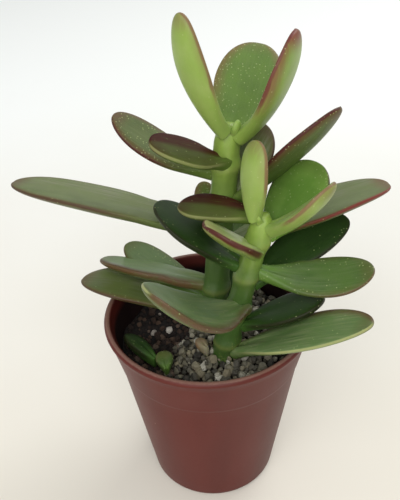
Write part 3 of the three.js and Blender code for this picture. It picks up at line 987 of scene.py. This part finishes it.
@dataclass
class PottingBed:
    """Soil up to an uneven surface with a hollow, and the grit heaped over part of it."""

    pot: NurseryPot
    level: float = 45.6 * MM
    gap: float = 0.3 * MM
    floor_gap: float = 1.2 * MM
    low_ring: float = 20 * MM
    wave_height: float = 0.35 * MM
    crumb_margin: float = 1.2 * MM
    crumb_rise: float = 0.15 * MM
    hollow: tuple[float, float] = (-13 * MM, 5 * MM)
    hollow_radius: float = 11 * MM
    hollow_depth: float = 3.6 * MM
    grit_middle: tuple[float, float] = (4 * MM, -4 * MM)
    grit_depth: float = 1.9 * MM
    grit_least: float = 0.7 * MM
    grit_open: float = 155
    grit_bite: float = 0.62
    lump_height: float = 0.55 * MM
    lump_width: float = 1.6 * MM
    sides: int = 144
    rings: int = 44
    patch_sides: int = 72
    patch_rings: int = 12
    seed: int = 7

    def soil_height(self, x: np.ndarray, y: np.ndarray) -> np.ndarray:
        """The soil's surface at each place."""
        away = np.hypot(x - self.hollow[0], y - self.hollow[1]) / self.hollow_radius
        dug = self.hollow_depth * np.exp(-away * away)
        waves = self.wave_height * np.sin(0.9 * x / MM) * np.cos(0.7 * y / MM + 0.4)
        return self.level - dug + waves

    def grit_reach(self, turns: np.ndarray) -> np.ndarray:
        """How far the grit reaches from its middle in each direction."""
        wall = self.pot.inner_radius(self.level) - 2 * self.gap
        across = self.grit_middle[0] * np.cos(turns) + self.grit_middle[1] * np.sin(turns)
        square = self.grit_middle[0] ** 2 + self.grit_middle[1] ** 2
        to_wall = -across + np.sqrt(across**2 + wall**2 - square)
        towards_hollow = np.clip(np.cos(turns - math.radians(self.grit_open)), 0, 1)
        return to_wall * (1 - self.grit_bite * towards_hollow**2)

    def _roughen(self, points: np.ndarray) -> np.ndarray:
        """Small lumps for a surface, the same each time: a height for each point."""
        dice = np.random.default_rng(self.seed)
        height = np.zeros(len(points))
        for layer in range(4):
            for _ in range(6):
                heading = dice.uniform(0, 2 * math.pi)
                wave = (2**layer) / self.lump_width
                phase = dice.uniform(0, 2 * math.pi)
                swing = points[:, 0] * math.cos(heading) + points[:, 1] * math.sin(heading)
                height += np.sin(swing * wave + phase) / 2**layer
        return self.lump_height * height / 6

    def build_soil(self) -> bpy.types.Object:
        """Makes the soil.

        Returns:
            The soil.
        """
        turns = np.linspace(0, 2 * math.pi, self.sides, endpoint=False)
        bottom = self.pot.base_thickness + self.floor_gap
        rings = []
        for height in (bottom, self.low_ring, self.pot.collar_bottom):
            radius = self.pot.inner_radius(height) - self.gap
            rings.append(circle(radius, turns, height))
        edge = self.pot.inner_radius(self.level) - self.gap
        for ring in range(self.rings, 0, -1):
            radius = edge * ring / self.rings
            ground = circle(radius, turns)
            ground[:, 2] = self.soil_height(ground[:, 0], ground[:, 1]) + self._roughen(ground)
            rings.append(ground)
        middle = self.soil_height(np.zeros(1), np.zeros(1))[0]
        mesh = skin_over("soil_bed", np.array(rings), np.array([0, 0, bottom]), np.array([0, 0, middle]))
        return finish_piece(link("potting_soil_bed", mesh), SOIL, "soil", "soil")

    def patch(self, name: str, middle: tuple[float, float], reach: np.ndarray, share: float,
              height: Callable[..., np.ndarray]) -> bpy.types.Mesh:
        """An open patch of ground for grains to lie on.

        Args:
            name: The mesh's name.
            middle: Its middle.
            reach: How far its edge is in each direction.
            share: How much of the way to its edge it goes.
            height: The height at x, y and the share of the way out.

        Returns:
            The patch.
        """
        sides = self.patch_sides
        turns = np.linspace(0, 2 * math.pi, sides, endpoint=False)
        outs = np.linspace(0, share, self.patch_rings + 1)[1:]
        cloud = np.vstack([np.zeros((1, 3))] + [circle(reach * out, turns) for out in outs])
        cloud[:, 0] += middle[0]
        cloud[:, 1] += middle[1]
        cloud[:, 2] = height(cloud[:, 0], cloud[:, 1], np.concatenate([[0.0], np.repeat(outs, sides)]))
        faces = [(0, 1 + side, 1 + (side + 1) % sides) for side in range(sides)]
        for ring in range(self.patch_rings - 1):
            for side in range(sides):
                low, high, after = 1 + ring * sides, 1 + (ring + 1) * sides, (side + 1) % sides
                faces.append((low + side, high + side, high + after, low + after))
        mesh = bpy.data.meshes.new(name)
        mesh.from_pydata(cloud.tolist(), [], faces)
        return mesh

    def grit_height(self, x: np.ndarray, y: np.ndarray, out: np.ndarray) -> np.ndarray:
        """The top of the heaped grit."""
        heap = self.grit_depth * np.sqrt(np.clip(1 - out**4, 0, 1)) + self.grit_least
        return self.soil_height(x, y) + heap

    def build_grains(self, scatter: Grower) -> list[bpy.types.Object]:
        """Scatters the grit and the soil's crumbs.

        Args:
            scatter: The tree that scatters grains.

        Returns:
            The pieces.
        """
        turns = np.linspace(0, 2 * math.pi, self.patch_sides, endpoint=False)
        grit_reach = self.grit_reach(turns)
        soil_reach = np.full(self.patch_sides, self.pot.inner_radius(self.level) - self.crumb_margin)
        low = self.patch(
            "grit_ground_low", self.grit_middle, grit_reach, 1.0,
            lambda x, y, out: self.grit_height(x, y, out) - 1.1 * MM,
        )
        high = self.patch(
            "grit_ground_high", self.grit_middle, grit_reach, 0.94,
            lambda x, y, out: self.grit_height(x, y, out) - 0.35 * MM,
        )
        bare = self.patch(
            "crumb_ground", (0.0, 0.0), soil_reach, 1.0,
            lambda x, y, out: self.soil_height(x, y) + self.crumb_rise,
        )
        under = scatter.grow(
            "grit_under_layer", low, Spacing=1.35 * MM, Smallest=0.6 * MM, Largest=1.1 * MM,
            Lift=0.5 * MM, Seed=3, Material=GRIT.material(),
        )
        upper = scatter.grow(
            "grit_top_layer", high, Spacing=1.9 * MM, Smallest=0.55 * MM, Largest=1.25 * MM,
            Lift=0.6 * MM, Seed=11, Material=GRIT.material(),
        )
        crumbs = scatter.grow(
            "soil_crumb_layer", bare, Spacing=1.3 * MM, Smallest=0.3 * MM, Largest=1.15 * MM,
            Lift=0.4 * MM, Seed=23, Material=CRUMBS.material(),
        )
        return [
            finish_piece(under, GRIT, "grit", "grit_layer"),
            finish_piece(upper, GRIT, "grit"),
            finish_piece(crumbs, CRUMBS, "soil"),
        ]


def scatter_tree() -> Grower:
    """The tree that scatters irregular grains over a patch of ground.

    Returns:
        The grower, whose grains each carry a tone.
    """
    shapes = (((1.0, 0.86, 0.72), 1.5), ((0.9, 1.0, 0.62), 2.1), ((0.82, 0.9, 0.95), 2.7))
    roundness, smallest_lump, lump_range = 0.72, 0.45, 1.1
    full_turn, thickest = 6.28, 4.0e6

    def draw(bench: Bench, seed: Signal, low: Any, high: Any) -> Signal:
        """A number for each grain, at random between two others."""
        made = bench.node("FunctionNodeRandomValue", {"data_type": "FLOAT"}, Seed=seed, in_2=low, in_3=high)
        return Signal(bench, made.outputs[1])

    def grain(bench: Bench, number: int, stretch: tuple[float, float, float], wave: float) -> Signal:
        """One grain's shape: a cube's grid drawn most of the way to a ball, stretched and made lumpy."""
        cube = bench.node(
            "GeometryNodeMeshCube", None, Size=(2.0, 2.0, 2.0), Vertices_X=3, Vertices_Y=3, Vertices_Z=3,
        )
        corner = bench.signal("GeometryNodeInputPosition")
        ray = bench.vector_sum("NORMALIZE", in_0=corner)
        where = bench.mix_vector(roundness, corner, ray)
        shifted = bench.vector_sum("ADD", in_0=where, in_1=(number * 7.3, 1.7, 4.1))
        swell = smallest_lump + lump_range * bench.noise(wave, 2.0, shifted)
        shaped = bench.vector_sum("MULTIPLY", in_0=where, in_1=stretch)
        grown = bench.vector_sum("SCALE", in_0=shaped, Scale=swell)
        lump = bench.signal("GeometryNodeSetPosition", None, Geometry=cube.outputs["Mesh"], Position=grown)
        return bench.signal("GeometryNodeGeometryToInstance", None, Geometry=lump)

    def build(bench: Bench, given: dict[str, Signal]) -> Signal:
        """Adds the nodes: three grain shapes, picked, turned and sized at random."""
        seed = given["Seed"]
        spread = bench.node(
            "GeometryNodeDistributePointsOnFaces", {"distribute_method": "POISSON"}, Mesh=given["Geometry"],
            Seed=seed, Distance_Min=given["Spacing"], Density_Max=thickest,
        )
        join = bench.node("GeometryNodeJoinGeometry")
        for number, (stretch, wave) in enumerate(shapes):
            bench.feed(join.inputs[0], grain(bench, number, stretch, wave))
        pick = bench.node("FunctionNodeRandomValue", {"data_type": "INT"}, Seed=seed, in_4=0, in_5=2)
        turn = bench.node(
            "FunctionNodeRandomValue", {"data_type": "FLOAT_VECTOR"}, Seed=seed,
            in_0=(0.0, 0.0, 0.0), in_1=(full_turn, full_turn, full_turn),
        )
        offset = bench.vector(0.0, 0.0, draw(bench, seed + 5, -given["Lift"], given["Lift"]))
        points = bench.signal(
            "GeometryNodeSetPosition", None, Geometry=spread.outputs["Points"], Offset=offset,
        )
        placed = bench.node(
            "GeometryNodeInstanceOnPoints", None, Points=points, Instance=join.outputs[0],
            Pick_Instance=True, Instance_Index=pick.outputs[2], Rotation=turn.outputs[0],
            Scale=draw(bench, seed, given["Smallest"], given["Largest"]),
        )
        return bench.signal(
            "GeometryNodeStoreNamedAttribute", {"data_type": "FLOAT", "domain": "INSTANCE"},
            Geometry=placed.outputs[0], Name="tone", Value=draw(bench, seed + 9, 0.0, 1.0),
        )

    inputs = {
        "Spacing": 0.001, "Smallest": 0.0005, "Largest": 0.001, "Lift": 0.0003, "Seed": 1, "Material": None,
    }
    return Grower("scatter_grains", inputs, build, faceted=True)


# --------------------------------------------------------------------------------------------------
# Stems and leaves


@dataclass
class Stem:
    """A fleshy stem that follows a few points, with a swelling at each pair of leaves."""

    name: str
    node: str
    middle: Sequence[tuple[float, float, float]]
    radius: Sequence[float]
    joints: Sequence[float]
    joint_bulge: float = 0.6
    joint_height: float = 1.8
    band_height: float = 0.7
    broad_rib: float = 0.02
    fine_rib: float = 0.012
    soil_level: float = 45.0
    sides: int = 64
    rings: int = 150
    samples: int = 600

    def point(self, height: float) -> np.ndarray:
        """The middle of the stem at a height in millimetres."""
        curve = self.curve(np.linspace(0, 1, self.samples))
        return np.array([np.interp(height, curve[:, 2], curve[:, axis]) for axis in range(3)])

    def curve(self, along: np.ndarray) -> np.ndarray:
        """Points on a smooth curve through the stem's middle points, in millimetres.

        Args:
            along: Shares of the way up, 0 to 1.

        Returns:
            One point to a row.
        """
        knots = np.array(self.middle, dtype=float)
        padded = np.vstack([2 * knots[0] - knots[1], knots, 2 * knots[-1] - knots[-2]])
        spans = len(knots) - 1
        span = np.minimum((along * spans).astype(int), spans - 1)
        share = (along * spans - span)[:, None]
        before, start, end, after = (padded[span + step] for step in range(4))
        return 0.5 * (
            2 * start + (end - before) * share + (2 * before - 5 * start + 4 * end - after) * share**2
            + (3 * start - before - 3 * end + after) * share**3
        )

    def build(self) -> bpy.types.Object:
        """Makes the stem and dresses it.

        Returns:
            The stem.
        """
        along = np.linspace(0, 1, self.rings)
        middles = self.curve(along)
        reach = np.interp(along * (len(self.radius) - 1), range(len(self.radius)), self.radius)
        turns = np.linspace(0, 2 * math.pi, self.sides, endpoint=False)
        heights = middles[:, 2]
        swell = np.zeros(self.rings)
        for joint in self.joints:
            swell = np.maximum(swell, np.exp(-(((heights - joint) / self.joint_height) ** 2)))
        rings = np.empty((self.rings, self.sides, 3))
        for ring in range(self.rings):
            broad = self.broad_rib * np.sin(3 * turns + heights[ring] * 0.25)
            fine = self.fine_rib * np.sin(7 * turns - heights[ring] * 0.4)
            out = (reach[ring] + self.joint_bulge * swell[ring]) * (1 + broad + fine)
            rings[ring] = circle(out, turns) + middles[ring]
        mesh = skin_over(self.name, rings * MM, middles[0] * MM, (middles[-1] + (0, 0, 0.5)) * MM)
        where = places(mesh)[:, 2] / MM
        store(mesh, "height", (where - self.soil_level) / (heights[-1] - self.soil_level))
        bands = np.zeros(len(where))
        for joint in self.joints:
            bands = np.maximum(bands, np.exp(-(((where - joint) / self.band_height) ** 2)))
        store(mesh, "joint", bands)
        return finish_piece(link(self.name, mesh), STEM, "stem", self.node)


@dataclass
class Leaf:
    """One thick rounded leaf: where it leaves its stem, the way it points and bends, and its size."""

    node: str
    height: float
    azimuth: float
    rise: float
    curl: float
    roll: float
    length: float
    width: float
    skin: Finish
    foot: float | None = None
    base: tuple[float, float] | None = None
    thickness: float = 3.6
    detail: bool = False
    sunk: float = 2.0
    least_curl: float = 0.5

    def start(self, stem: Stem | None) -> np.ndarray:
        """Where its midrib starts, in millimetres."""
        if self.base is not None:
            return np.array([*self.base, self.height])
        turn = math.radians(self.azimuth if self.foot is None else self.foot)
        return stem.point(self.height) + self.sunk * np.array([math.cos(turn), math.sin(turn), 0])

    def build(self, blades: Grower, stem: Stem | None, number: int) -> bpy.types.Object:
        """Grows the leaf and dresses it.

        Args:
            blades: The tree that shapes a blade.
            stem: The stem it grows from.
            number: Its place in the order, for its small irregularities.

        Returns:
            The leaf.
        """
        curl = self.curl if abs(self.curl) > self.least_curl else self.least_curl
        ground = bpy.data.meshes.new(self.node + "_ground")
        piece = blades.grow(
            self.node + "_blade", ground,
            Length=self.length * MM, Width=self.width * MM, Thickness=self.thickness * MM,
            Rise=math.radians(self.rise), Curl=math.radians(curl), Roll=math.radians(self.roll),
            Azimuth=math.radians(self.azimuth), Base=tuple(self.start(stem) * MM),
            Wander=float(number), Material=self.skin.material(),
        )
        outward(piece.data)
        slot = "dry_leaf" if self.skin is HUSK else "leaf"
        return finish_piece(piece, self.skin, slot, *(() if self.detail else (self.node,)))


def blade_tree() -> Grower:
    """The tree that shapes one leaf blade: narrow stalk, widest past the middle, flat above, rounded below.

    Returns:
        The grower, whose blades carry the along, rim, top and lane attributes.
    """
    stalk, widest, cup, bluntness, tip_round, closes = 0.28, 0.6, 0.1, 0.85, 0.475, 0.012
    flat_share, belly_share, groove_width, groove_depth = 0.35, 0.65, 0.35, 0.16
    ripple_depth, sag_depth, twist_end, lane_unit = 0.012, 0.008, 0.35, 0.01
    thin_end, rim_share, rows, columns = 0.3, 0.35, 61, 57

    def blunt(share: Signal) -> Signal:
        """Squares up a circle a little, for a leaf's blunt edge."""
        return share.size() ** bluntness * share.sign()

    def build(bench: Bench, given: dict[str, Signal]) -> Signal:
        """Adds the nodes: a grid whose columns go round the blade and whose rows go along it."""
        grid = bench.node(
            "GeometryNodeMeshGrid", None, Size_X=1.0, Size_Y=1.0, Vertices_X=columns, Vertices_Y=rows,
        )
        corner = bench.signal("GeometryNodeInputPosition")
        around = (bench.axis(corner, 0) + 0.5) * (2 * math.pi)
        ahead = bench.axis(corner, 1) + 0.5
        along = 0.5 - 0.5 * (ahead * math.pi).cosine()
        out, up = blunt(around.cosine()), blunt(around.sine())

        narrow = stalk + (1 - stalk) * ((along * (math.pi / 2 / widest)).least(math.pi / 2).sine() ** 1.4)
        beyond = ((along - widest) / (1 - widest)).most(0.0)
        rounded = (1 - beyond * beyond).most(0.0) ** tip_round
        before = along < widest
        share = narrow * before + rounded * (1 - before)
        closing = (along / closes).least(1.0) ** 0.5
        half = given["Width"] * 0.5 * share * closing
        thinning = rounded ** 0.6
        thick = given["Thickness"] * (1 - thin_end * along) * thinning * closing

        above = up > 0.0
        flat = up.size() * flat_share
        belly = up.size() * -belly_share
        across = out / groove_width
        groove = (1 - across * across).most(0.0) * (1 - along * 1.6).most(0.0) * groove_depth
        lift = thick * (above * (flat - groove) + (1 - above) * belly)
        ripple = (along * 11 + given["Wander"] * 1.7).sine() * out * out * out * ripple_depth
        sag = (along * 6 + given["Wander"] * 2.3).sine() * sag_depth
        lift = lift + half * out * out * cup + given["Width"] * (ripple + sag) * along

        slope = given["Rise"] + given["Curl"] * along
        run = given["Length"] / given["Curl"] * (slope.sine() - given["Rise"].sine())
        climb = given["Length"] / given["Curl"] * (given["Rise"].cosine() - slope.cosine())
        twist = given["Roll"] * (along / twist_end).least(1.0)
        over = half * out * twist.sine() + lift * twist.cosine()
        aside = half * out * twist.cosine() - lift * twist.sine()
        x = run - over * slope.sine()
        z = climb + over * slope.cosine()
        turn = given["Azimuth"]
        ahead_x, ahead_y = turn.cosine(), turn.sine()
        place = bench.vector(x * ahead_x - aside * ahead_y, x * ahead_y + aside * ahead_x, z)
        place = bench.vector_sum("ADD", in_0=place, in_1=given["Base"])

        marks = {
            "along": along,
            "rim": ((half * (1 - out.size())) ** 2 + (thick * up * rim_share) ** 2).root(),
            "tip": (1 - along) * given["Length"],
            "top": up.ease(-0.12, 0.12),
            "lane": half * out / lane_unit,
        }
        shape: Any = grid.outputs["Mesh"]
        for name, value in marks.items():
            shape = bench.signal(
                "GeometryNodeStoreNamedAttribute", {"data_type": "FLOAT", "domain": "POINT"},
                Geometry=shape, Name=name, Value=value,
            )
        moved = bench.signal("GeometryNodeSetPosition", None, Geometry=shape, Position=place)
        return bench.signal("GeometryNodeMergeByDistance", None, Geometry=moved, Distance=0.002 * MM)

    inputs = {
        "Length": 0.03, "Width": 0.015, "Thickness": 0.003, "Rise": 0.3, "Curl": 0.1, "Roll": 0.0,
        "Azimuth": 0.0, "Base": (0.0, 0.0, 0.0), "Wander": 0.0, "Material": None,
    }
    return Grower("leaf_blade", inputs, build)


@dataclass
class JadePlant:
    """Two leafy stems, and what has fallen beside them."""

    main_stem: Stem = field(default_factory=lambda: Stem(
        "main_stem_flesh", "main_stem",
        ((0.4, 3.2, 37), (1.2, 3, 46), (2.6, 2.6, 62), (4.2, 2.6, 80), (6, 3, 101), (6.4, 3, 105)),
        (3.3, 3.3, 3.2, 3.1, 3.1, 1.5), (50, 60, 73, 86, 95),
    ))
    side_stem: Stem = field(default_factory=lambda: Stem(
        "side_stem_flesh", "side_stem",
        (
            (1.4, -9.2, 37), (3.2, -9.6, 46), (5.5, -9.8, 56),
            (8.8, -9.6, 69), (12.4, -9.4, 84.5), (13.2, -9.4, 88.5),
        ),
        (3.1, 3.1, 2.9, 2.8, 2.8, 1.4), (52, 63, 72, 81),
    ))

    def main_leaves(self) -> list[Leaf]:
        """The leaves of the tall stem, from the top down."""
        new, flushed, young, green, speckled, red, streaked, dark, waxy = (skin.value for skin in (
            Skin.NEW, Skin.FLUSHED, Skin.YOUNG, Skin.GREEN, Skin.SPECKLED, Skin.RED, Skin.STREAKED,
            Skin.DARK, Skin.WAXY,
        ))
        return [
            Leaf("leaf_main_top_left", 104, 218, 49, 38, 2, 31.2, 9.3, new, foot=260),
            Leaf("leaf_main_top_right", 102.1, 339, 39, 49, -5, 28.7, 15.9, flushed),
            Leaf("leaf_main_top_back", 99, 69, 31, 0, 12, 30.4, 16.3, young),
            Leaf("leaf_main_top_front", 96.5, 203, 24, 3, -15, 21, 10.6, red, foot=290),
            Leaf("leaf_main_upper_left", 92.7, 163, 11, 33, -16, 28.2, 9.9, speckled),
            Leaf("leaf_main_upper_right", 85.7, 346, 40, 12, -24, 34.5, 16.2, speckled),
            Leaf("leaf_main_upper_back", 86.1, 34, 56, 2, 3, 19, 15, waxy),
            Leaf("leaf_main_long_left", 76.9, 167, 13, -4, 16, 52.4, 21.3, waxy),
            Leaf("leaf_main_long_right", 72.1, 9, 22, -12, -15, 43.4, 21.9, Skin.WAXY_RIGHT.value),
            Leaf("leaf_main_small_back", 72.5, 106, 46, 5, 0, 16, 7, young),
            Leaf("leaf_main_low_left", 60.5, 158, -2, 8, 26, 31.5, 16.3, streaked),
            Leaf("leaf_main_low_back", 54.2, 138, 3, 17, 4, 31, 12, green, foot=148),
            Leaf("leaf_main_base_left", 49.7, 169, 30, -30, 6, 35.6, 15.4, waxy),
            Leaf("leaf_main_hidden_back", 66, 78, 24, 4, 0, 27, 15, green),
            Leaf("leaf_main_hidden_low", 54, 55, 20, 6, 0, 24, 14, dark),
        ]

    def side_leaves(self) -> list[Leaf]:
        """The leaves of the short stem, from the top down."""
        new, tender, bright, green, red, streaked, dark = (skin.value for skin in (
            Skin.NEW, Skin.TENDER, Skin.BRIGHT, Skin.GREEN, Skin.RED, Skin.STREAKED, Skin.DARK,
        ))
        return [
            Leaf("leaf_side_top_left", 87.1, 165, 6, -6, 2, 18.6, 11.5, red, foot=120),
            Leaf("leaf_side_top_back", 88.3, 229, 75, 31, -21, 18.9, 9.1, new, foot=212),
            Leaf("leaf_side_top_right", 81.8, 28, 39, 11, 2, 20.9, 16.5, bright),
            Leaf("leaf_side_right", 85.4, 323, 32, 29, -1, 21.3, 11.5, new),
            Leaf("leaf_side_front_left", 79.3, 200, 38, 0, 7, 16.5, 13, tender, foot=300),
            Leaf("leaf_side_left", 74.2, 155, 26, 9, 9, 25.2, 14.4, dark),
            Leaf("leaf_side_mid_right", 73.5, -10, -18, 45, 13, 27.6, 12, green),
            Leaf("leaf_side_back_right", 68.2, 27, 28, -17, 11, 30, 12, dark),
            Leaf("leaf_side_low_front", 63.9, 226, 16, 40, -10, 37.6, 17.3, streaked, foot=317),
            Leaf("leaf_side_base_right", 57.2, 343, 31, -2, -2, 23.2, 12.2, dark, foot=351),
            Leaf("leaf_side_far_right", 49.1, 326, 39, -9, 10, 42.4, 12.1, streaked, foot=320),
        ]

    def loose_leaves(self) -> list[Leaf]:
        """What lies on the soil."""
        dark, green = Skin.DARK.value, Skin.GREEN.value
        return [
            Leaf("leaf_loose_left", 48.9, 128, 6, -8, 22, 13, 5.4, dark, base=(-13.8, -13.2)),
            Leaf("leaf_loose_front", 48.6, 100, 16, -10, 0, 6, 4.5, green, base=(-11, -16.5)),
            Leaf("leaf_scrap", 49.2, 120, 4, 0, 0, 5, 3, HUSK, base=(-0.6, -10.6)),
        ]

    def buds(self) -> list[Leaf]:
        """The small folded leaves that open at the two tips."""
        rows = (
            ("bud_main_left", 103.2, 205, 66, 10, 4.2, 2.8, (5.2, 0.9), 1.9),
            ("bud_main_right", 103.4, 330, 60, 20, 4.0, 2.8, (7.0, 0.8), 1.9),
            ("bud_side_left", 87.2, 190, 62, 10, 3.4, 2.4, (12.6, -11.2), 1.7),
        )
        return [
            Leaf(name, height, azimuth, rise, curl, 0, length, width, BUD,
                 base=base, thickness=thickness, detail=True)
            for name, height, azimuth, rise, curl, length, width, base, thickness in rows
        ]

    def build(self) -> list[bpy.types.Object]:
        """Makes the stems and all the leaves.

        Returns:
            The pieces.
        """
        pieces = [self.main_stem.build(), self.side_stem.build()]
        blades = blade_tree()
        groups = (
            (self.main_stem, self.main_leaves()), (self.side_stem, self.side_leaves()),
            (None, self.loose_leaves() + self.buds()),
        )
        number = 0
        for stem, leaves in groups:
            for leaf in leaves:
                number += 1
                pieces.append(leaf.build(blades, stem, number))
        return pieces


# --------------------------------------------------------------------------------------------------
# The table, the light and the camera


@dataclass
class Studio:
    """A pale table under soft window light, seen from a little above."""

    aim: tuple[float, float, float] = (-1.4 * MM, 10.8 * MM, 65.9 * MM)
    distance: float = 180.9 * MM
    elevation: float = 34.1
    tilt: float = -2.65
    lens: float = 48.7
    sensor: float = 36.0
    nearest: float = 10 * MM
    lamp_aim: tuple[float, float, float] = (0, 0, 70 * MM)
    table_reach: float = 6.0
    sky_colour: Colour = (1.0, 1.0, 0.99, 1.0)
    sky_strength: float = 0.56

    def build(self) -> None:
        """Sets up the table, the lights and the camera."""
        self.table()
        self.sky()
        self.lamp("window", (0.45, 0.45, 0.75), size=0.6, power=3.6, colour=(1.0, 1.0, 0.98))
        self.lamp("room", (-0.1, -0.62, 0.55), size=0.8, power=5.5, colour=(1.0, 0.99, 0.97))
        self.camera()
        settings = bpy.context.scene.view_settings
        settings.view_transform = "Standard"
        settings.look = "None"
        settings.exposure = 0.0

    def table(self) -> None:
        """Lays the pale table."""
        work = bmesh.new()
        bmesh.ops.create_grid(work, x_segments=4, y_segments=4, size=self.table_reach)
        mesh = bpy.data.meshes.new("table")
        work.to_mesh(mesh)
        work.free()
        top = link("table", mesh)
        mesh.materials.append(TableTop().material())

    def sky(self) -> None:
        """Fills the room with soft white light."""
        world = bpy.data.worlds.new("room")
        bpy.context.scene.world = world
        world.use_nodes = True
        back = world.node_tree.nodes["Background"]
        back.inputs["Color"].default_value = self.sky_colour
        back.inputs["Strength"].default_value = self.sky_strength

    def lamp(self, name: str, place: tuple[float, float, float], size: float, power: float,
             colour: tuple[float, float, float]) -> None:
        """Hangs a soft square lamp that faces the plant.

        Args:
            name: Its name.
            place: Where it hangs, in metres.
            size: The length of its side.
            power: Its power in watts.
            colour: Its colour.
        """
        light = bpy.data.lights.new(name, "AREA")
        light.shape = "SQUARE"
        light.size = size
        light.energy = power
        light.color = colour
        holder = bpy.data.objects.new(name, light)
        bpy.context.scene.collection.objects.link(holder)
        holder.location = place
        facing = Vector(self.lamp_aim) - Vector(place)
        holder.rotation_euler = facing.to_track_quat("-Z", "Y").to_euler()

    def camera(self) -> None:
        """Sets the camera."""
        lens = bpy.data.cameras.new("camera")
        lens.lens = self.lens
        lens.sensor_width = self.sensor
        lens.sensor_fit = "AUTO"
        lens.clip_start = self.nearest
        holder = bpy.data.objects.new("camera", lens)
        bpy.context.scene.collection.objects.link(holder)
        down = math.radians(self.elevation)
        forward = Vector((0, math.cos(down), -math.sin(down)))
        right = Vector((1, 0, 0))
        up = right.cross(forward)
        lean = math.radians(self.tilt)
        tilted_right = math.cos(lean) * right + math.sin(lean) * up
        tilted_up = -math.sin(lean) * right + math.cos(lean) * up
        turn = Matrix((tilted_right, tilted_up, -forward)).transposed()
        holder.matrix_world = Matrix.Translation(Vector(self.aim) - self.distance * forward) @ turn.to_4x4()
        bpy.context.scene.camera = holder


def main() -> None:
    """Builds the whole plant, then its surroundings."""
    logging.basicConfig(level=logging.INFO, format="%(name)s %(message)s")
    pot = NurseryPot()
    bed = PottingBed(pot)
    pot.build()
    bed.build_soil()
    bed.build_grains(scatter_tree())
    JadePlant().build()
    Studio().build()
    bpy.context.view_layer.update()


if __name__ == "__main__":
    main()
